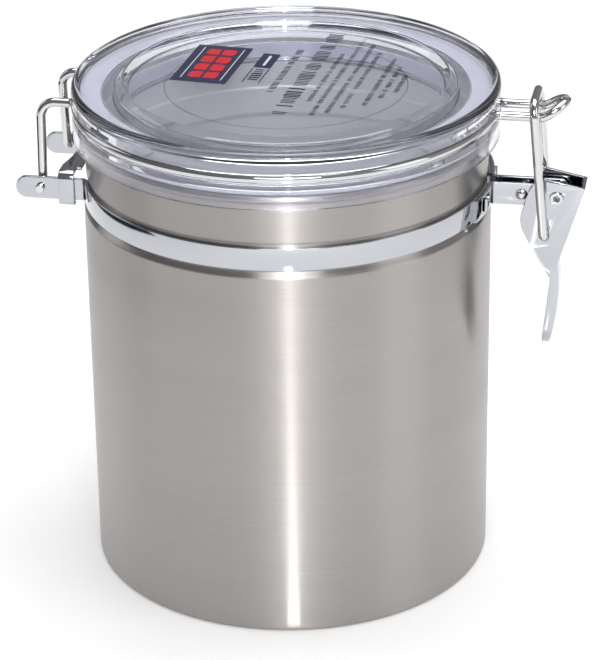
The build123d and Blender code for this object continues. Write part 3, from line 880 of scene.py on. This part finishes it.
class CANISTER_OT_lid_wire(bpy.types.Operator):
    """Bends the lid wire: hinge pins, legs, the ring in the lid's groove and the front loop"""
    bl_idname = "canister.lid_wire"
    bl_label = "Lid Wire"

    def execute(self, context):
        prepare()
        top_y, foot_y, pin_y = 13.4, 15.6, 20.6
        leg_bend, foot_bend, turn = 4.6, 2.4, 3.0
        loop_y, kink_x, rise, reach, kink_bend, loop_bend = 5.3, 80.5, radians(32), 7.4, 4.0, 5.5
        hinge = mirrored(turn_out(RING_R, top_y, turn, RING_Z), x=-1)[::-1]
        loop = turn_out(RING_R, loop_y, turn, RING_Z)
        leg = rounded([(HINGE_X, -pin_y, BAND_MID, 0), (HINGE_X, -foot_y, BAND_MID, foot_bend),
                       (HINGE_X, -top_y, RING_Z, leg_bend), tuple(hinge[0]) + (0,)], step=8)
        front = arc((0, 0, RING_Z), RING_R, on_ring_angle(hinge[-1]), on_ring_angle(loop[0]), 2)
        tip = (kink_x + reach * cos(rise), RING_Z + reach * sin(rise))
        nose = rounded([tuple(loop[-1]) + (0,), (kink_x, -loop_y, RING_Z, kink_bend),
                        (tip[0], -loop_y, tip[1], loop_bend), (tip[0], loop_y, tip[1], loop_bend),
                        (kink_x, loop_y, RING_Z, kink_bend),
                        (loop[-1].x, loop_y, RING_Z, 0)], step=8)
        near = leg[:-1] + hinge + front[1:-1] + loop
        path = near + nose[1:-1] + mirrored(near, y=-1)[::-1]
        settle(round_wire("lid_wire", path), "lid_group", "lid_wire")
        return {"FINISHED"}


class CANISTER_OT_lever(bpy.types.Operator):
    """Rounds the edges of the folded latch lever"""
    bl_idname = "canister.lever"
    bl_label = "Latch Lever"

    def execute(self, context):
        prepare()
        lever = softened_copy("latch_lever", KIT["chrome"], 0.38)
        settle(lever, "lever", "latch_lever")
        return {"FINISHED"}


class CANISTER_OT_bail(bpy.types.Operator):
    """Bends the wire bail that hooks over the lid wire's loop"""
    bl_idname = "canister.bail"
    bl_label = "Bail"

    def execute(self, context):
        prepare()
        hook, arch = (PIVOT_X - 3.6, BAND_MID - 13.0), (PIVOT_X - 7.4, BAND_MID + 31.5)
        foot_y, top_y, end_y, foot_bend, arch_bend = 7.0, 9.0, 3.55, 2.2, 4.4
        near = [(hook[0], -end_y, hook[1], 0), (hook[0], -foot_y, hook[1], foot_bend),
                (arch[0], -top_y, arch[1], arch_bend)]
        far = [(x, -y, z, r) for x, y, z, r in reversed(near)]
        bail = round_wire("latch_bail", rounded(near + far, step=8))
        settle(bail, "bail", "latch_bail")
        return {"FINISHED"}


class CANISTER_OT_label(bpy.types.Operator):
    """Lays the clear label film and its abstract printing on the lid's window"""
    bl_idname = "canister.label"
    bl_label = "Lid Label"

    def execute(self, context):
        prepare()
        radius, low, high = FILM_HIGH.x, FILM_LOW.z, FILM_HIGH.z
        under, over = low + 0.02, high - 0.01
        film = turned("lid_label", [Vector((0, under, 0)), Vector((radius - 0.05, under, 0)),
                                    Vector((radius, (low + high) / 2, 0)), Vector((radius - 0.05, over, 0)),
                                    Vector((0, over, 0))], "film")
        settle(film, "lid_group", "lid_label")
        ink = context.scene.canister_sizes.print_height / MM
        heading = radians(85)
        turn = Matrix.Rotation(heading, 3, "Z")

        def patch(along, across, finish, layer, corner=0.0):
            """Flat patch of ink between two places along and two across the reading direction."""
            box = [(along[0], across[0]), (along[1], across[0]), (along[1], across[1]),
                   (along[0], across[1])]
            outline = rounded([(x, y, corner) for x, y in box], closed=True)[:-1]
            mesh = prism(outline, ink, turn, (0, 0, high + ink * (layer + 0.5)))
            mesh.materials.append(KIT[finish])
            return mesh

        def row(start, count, pitch, height, seed, filled=0.86):
            """Row of dashes that stands for a line of small print."""
            place = turn @ Vector((start[0], start[1], 0)) + Vector((0, 0, high + ink / 2))
            return grow("row", KIT["row"], chain_mesh([Vector((0, 0, 0)), Vector((1, 0, 0))]),
                        count=count, pitch=pitch * MM, height=height * MM, ink=ink * MM, filled=filled,
                        seed=seed, turn=(0, 0, heading), place=tuple(place * MM), finish=KIT["dark"])

        badge = [patch((-4.7, 28.2), (18.4, 36.4), "navy", 0, 0.3)]
        badge += [patch((-1.7, 26.2), (33.6, 33.9), "pale", 1)]
        badge += [patch((-1.7, 26.2), (20.6, 20.9), "pale", 1)]
        bars = ((-0.6, 4.6), (6.0, 11.6), (13.0, 18.6), (20.2, 25.0))
        badge += [patch(bar, (22.6, 32.0), "red", 1, 1.2) for bar in bars]
        badge += [patch((bars[0][0], bars[-1][1]), (26.9, 27.8), "navy", 2)]
        badge += [patch((12.0, 24.8), (8.4, 14.0), "navy", 0, 0.15)]
        badge += [patch((14.0, 22.8), (10.7, 11.6), "pale", 1, 0.2)]
        badge += [patch((-1.4, 11.2), (8.4, 8.8), "navy", 0), patch((-1.4, 11.2), (13.6, 14.0), "navy", 0)]
        rows = [row((-0.4, 11.2), 7, 1.75, 3.6, 3, 0.95),
                row((-7.4, 3.2), 33, 1.18, 2.4, 5), row((-25.0, -4.4), 54, 1.35, 5.4, 8, 0.84)]
        small = ((-12.6, 44.0, -10.6), (-23.5, 70.0, -14.2), (-21.0, 64.0, -18.3), (-16.0, 50.0, -21.9),
                 (-12.4, 43.0, -27.8), (-5.0, 29.0, -31.2), (-0.6, 17.0, -34.6))
        rows += [row((start, across), int(reach / 0.98), 0.98, 1.7, 20 + i)
                 for i, (start, reach, across) in enumerate(small)]
        hair = turned("hairline", rounded([(37.6, high, 0), (37.75, high, 0), (37.75, high + ink, 0),
                                           (37.6, high + ink, 0)], closed=True), "navy")
        for name, print_mesh in (("label_badge", joined("label_badge", badge)),
                                 ("label_rows", joined("label_rows", rows)), ("label_hairline", hair)):
            piece = place_object(name, print_mesh)
            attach(piece, "lid_group")
        return {"FINISHED"}


# ---- stage ---------------------------------------------------------------------------------------

def soft_light(name, power, size, place, aim):
    """Rectangular area light, in metres, turned towards a point."""
    lamp = bpy.data.lights.new(name, "AREA")
    lamp.shape = "RECTANGLE"
    lamp.size, lamp.size_y = size
    lamp.energy = power
    holder = place_object(name, lamp)
    holder.location = place
    holder.rotation_euler = (Vector(aim) - Vector(place)).to_track_quat("-Z", "Y").to_euler()


class CANISTER_OT_stage(bpy.types.Operator):
    """Sets the pale floor, the soft lights and the camera"""
    bl_idname = "canister.stage"
    bl_label = "Stage"

    def execute(self, context):
        scene, studio = context.scene, context.scene.canister_studio
        reach = 6.0
        sheet = bpy.data.meshes.new("studio_floor")
        sheet.from_pydata([(-reach, -reach, 0), (reach, -reach, 0), (reach, reach, 0), (-reach, reach, 0)],
                          [], [(0, 1, 2, 3)])
        sheet.materials.append(studio_paper(scene.canister_colours.floor))
        place_object("studio_floor", sheet)
        self.light(studio)
        self.cards(studio.azimuth)
        self.surround(scene, studio)
        self.look(scene, studio)
        scene.view_settings.view_transform = "Standard"
        return {"FINISHED"}

    def light(self, studio):
        """Narrow front strip, soft front, soft top and soft sides, in metres."""
        middle = (0, 0, 0.08)
        az = studio.azimuth + radians(0.4)
        front = Vector((sin(az), -cos(az), 0))
        strip_away, strip_high, soft_away, soft_high = 1.5, 1.0, 1.6, 1.15
        soft_light("front_strip", studio.strip, (0.055, 1.0),
                   front * strip_away + Vector((0, 0, strip_high)), middle)
        soft_light("front_soft", studio.front, (1.0, 0.6),
                   front * soft_away + Vector((0, 0, soft_high)), middle)
        soft_light("overhead", studio.overhead, (1.5, 1.3), (0.05, 0.3, 1.6), (0.0, 0.15, 0.0))
        soft_light("right_side", studio.side, (0.6, 0.9), (1.2, -0.35, 0.6), middle)
        soft_light("left_side", studio.side * 0.6, (0.5, 0.9), (-1.2, 0.3, 0.6), middle)

    def cards(self, heading):
        """Cards on the floor that only the metal mirrors: a dark one that paints a dark reflection into the
        left side of the metal, and a glowing line in front that paints a highlight into it.
        """
        # painted dark reflection and painted highlight: these papers show only in the metal's reflections
        dark, glow = studio_paper("#23252E"), studio_paper("#FFFFFF", 2.3)
        ahead = Matrix.Rotation(heading, 3, "Z")
        line = [ahead @ Vector(p) for p in ((-0.0022, -0.066, 0), (0.0022, -0.066, 0), (0.008, -0.25, 0),
                                            (-0.008, -0.25, 0))]
        side = [Vector(p) for p in ((-0.46, -0.25, 0), (-0.36, 0.4, 0), (-0.7, 0.4, 0), (-0.7, -0.25, 0))]
        for name, corners, paper in (("left_card", side, dark), ("front_line", line, glow)):
            flat = bpy.data.meshes.new(name)
            flat.from_pydata([(p.x, p.y, MM) for p in corners], [], [(0, 1, 2, 3)])
            flat.materials.append(paper)
            card = place_object(name, flat)
            card.visible_camera = card.visible_diffuse = card.visible_shadow = False
            card.visible_transmission = card.visible_volume_scatter = False

    def surround(self, scene, studio):
        """Pale surroundings that darken towards the horizon on the left."""
        world = bpy.data.worlds.new("studio_world")
        scene.world = world
        world.use_nodes = True
        tree = world.node_tree
        tree.nodes.clear()
        way = add(tree, "ShaderNodeTexCoord").outputs["Generated"]
        side = add(tree, "ShaderNodeSeparateXYZ", {0: way}).outputs["X"]
        ramp = add(tree, "ShaderNodeValToRGB", {0: maths(tree, "MULTIPLY_ADD", side, 0.5, 0.5)})
        stops = ramp.color_ramp.elements
        stops[0].color, stops[1].color = (0.38, 0.38, 0.42, 1), (1, 1, 1, 1)
        sky = add(tree, "ShaderNodeBackground", {"Color": ramp.outputs[0]}, {"Strength": studio.world})
        add(tree, "ShaderNodeOutputWorld", {"Surface": sky.outputs[0]})

    def look(self, scene, studio):
        """Camera on the side of the latch, looking down on the lid."""
        distance, shift_x, target_z, roll = 928.94, -3.236, 74.15, radians(-0.81)
        ahead = Vector((0, cos(studio.elevation), -sin(studio.elevation)))
        right = Vector((1, 0, 0))
        up = right.cross(ahead)
        tilted = cos(roll) * right + sin(roll) * up
        top = -sin(roll) * right + cos(roll) * up
        place = Vector((0, 0, target_z)) - ahead * distance - tilted * shift_x
        turn = Matrix.Rotation(studio.azimuth, 3, "Z")
        lens = bpy.data.cameras.new("camera")
        lens.lens = studio.focal_length
        lens.clip_start = 0.05
        camera = place_object("camera", lens)
        axes = Matrix((turn @ tilted, turn @ top, turn @ -ahead)).transposed()
        camera.matrix_world = Matrix.Translation(turn @ place * MM) @ axes.to_4x4()
        scene.camera = camera


STEPS = ("stage", "can", "collar", "hinge_clip", "latch_ears", "rivets", "lid", "lid_wire", "lever", "bail",
         "label")


class CANISTER_PT_panel(bpy.types.Panel):
    """Lists the canister's pieces and sizes"""
    bl_idname = "CANISTER_PT_panel"
    bl_label = "Food Canister"
    bl_space_type = "VIEW_3D"
    bl_region_type = "UI"
    bl_category = "Canister"

    def draw(self, context):
        for step in STEPS:
            self.layout.operator("canister." + step)
        for group in (context.scene.canister_sizes, context.scene.canister_colours,
                      context.scene.canister_studio):
            for name in group.__annotations__:
                self.layout.prop(group, name)


CLASSES = (CanisterSizes, CanisterColours, StudioSettings, CANISTER_OT_stage, CANISTER_OT_can,
           CANISTER_OT_collar, CANISTER_OT_hinge_clip, CANISTER_OT_latch_ears, CANISTER_OT_rivets,
           CANISTER_OT_lid, CANISTER_OT_lid_wire, CANISTER_OT_lever, CANISTER_OT_bail, CANISTER_OT_label,
           CANISTER_PT_panel)
GROUPS = {"canister_sizes": CanisterSizes, "canister_colours": CanisterColours,
          "canister_studio": StudioSettings}


def register():
    for cls in CLASSES:
        bpy.utils.register_class(cls)
    for name, group in GROUPS.items():
        setattr(bpy.types.Scene, name, PointerProperty(type=group))


def unregister():
    for name in GROUPS:
        delattr(bpy.types.Scene, name)
    for cls in reversed(CLASSES):
        bpy.utils.unregister_class(cls)


def main():
    register()
    for step in STEPS:
        getattr(bpy.ops.canister, step)()


if __name__ == "__main__":
    main()
